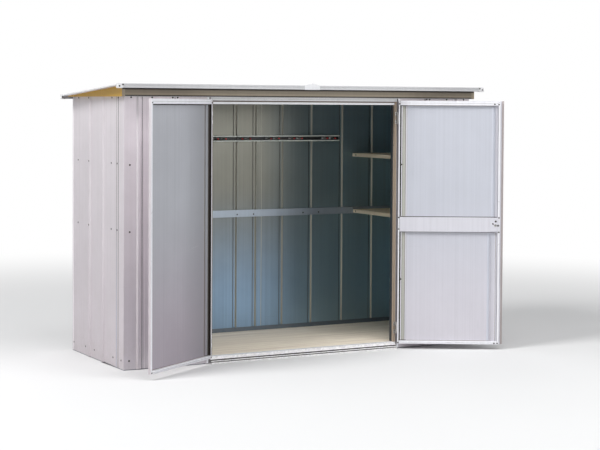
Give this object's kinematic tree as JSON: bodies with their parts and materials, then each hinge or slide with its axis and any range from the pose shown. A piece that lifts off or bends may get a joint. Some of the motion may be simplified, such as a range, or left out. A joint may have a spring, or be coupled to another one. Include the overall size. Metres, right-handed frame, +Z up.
{
  "type": "tool shed",
  "caption": "low metal tool shed with ribbed walls, a roof falling to the rear, hinged double doors, raised floor, end shelves and a tool rail",
  "frame": {"origin": "on the ground, at the middle of the wall base", "axes": "+X to the right seen from the front, -Y out of the doorway, +Z up"},
  "size_m": [2.609, 1.3024, 1.7246],
  "materials": {
    "wall_white": "baked enamel, fine dust",
    "trim_white": "baked enamel",
    "cap_white": "moulded plastic",
    "jamb_beige": "baked enamel",
    "shelf_beige": "baked enamel",
    "fascia_taupe": "baked enamel",
    "gable_tan": "baked enamel",
    "galvanised": "zinc coated",
    "sill_metal": "zinc coated, scuffed",
    "rail_metal": "dark enamel with bright lips",
    "hook_steel": "bright steel",
    "cap_red": "soft plastic tips",
    "hinge_steel": "zinc plated",
    "floor_wood": "worn plywood",
    "joist_wood": "sawn timber"
  },
  "bodies": {
    "shed": {"floor_deck": "floor_wood", "floor_joists": "joist_wood", "door_sill": "sill_metal", "base_rails": "galvanised", "corner_front_left": "wall_white", "corner_front_right": "wall_white", "corner_rear_pair": "wall_white", "front_panel_left": "wall_white", "front_panel_right": "wall_white", "side_panel_left": "wall_white", "side_panel_right": "wall_white", "back_panel_left": "wall_white", "back_panel_middle": "wall_white", "back_panel_right": "wall_white", "door_jamb_left": "jamb_beige", "door_jamb_right": "jamb_beige", "door_header": "trim_white", "wall_top_rails": "galvanised", "mid_brace_rear": "wall_white", "shelves_right": "shelf_beige", "shelves_left": "shelf_beige", "tool_rail": "rail_metal", "tool_hooks": "hook_steel", "tool_hook_caps": "cap_red", "fascias": "fascia_taupe", "gable_left": "gable_tan", "gable_right": "gable_tan", "roof_panel_left": "wall_white", "roof_panel_right": "wall_white", "roof_trim_front": "trim_white", "roof_trim_edges": "trim_white", "roof_trim_splice": "trim_white", "roof_corner_caps": "cap_white", "jamb_hinge_leaves": "hinge_steel"},
    "door_right": {"door_right_panel": "wall_white", "door_right_end_rails": "trim_white", "door_right_mid_rail": "trim_white", "door_right_stiles": "trim_white", "door_right_latch": "hinge_steel", "door_right_pull": "hinge_steel", "door_right_hinge_leaves": "hinge_steel"},
    "door_left": {"door_left_panel": "wall_white", "door_left_end_rails": "trim_white", "door_left_stile": "trim_white", "door_left_hinge_leaves": "hinge_steel"}
  },
  "joints": [
    {"name": "door_right_hinge", "type": "hinge", "parent": "shed", "child": "door_right", "pos_m": [0.668, -0.454, 0.8], "axis": [0, 0, 1], "range_deg": [-150, 17]},
    {"name": "door_left_hinge", "type": "hinge", "parent": "shed", "child": "door_left", "pos_m": [-0.668, -0.454, 0.8], "axis": [0, 0, -1], "range_deg": [-147, 20]}
  ]
}
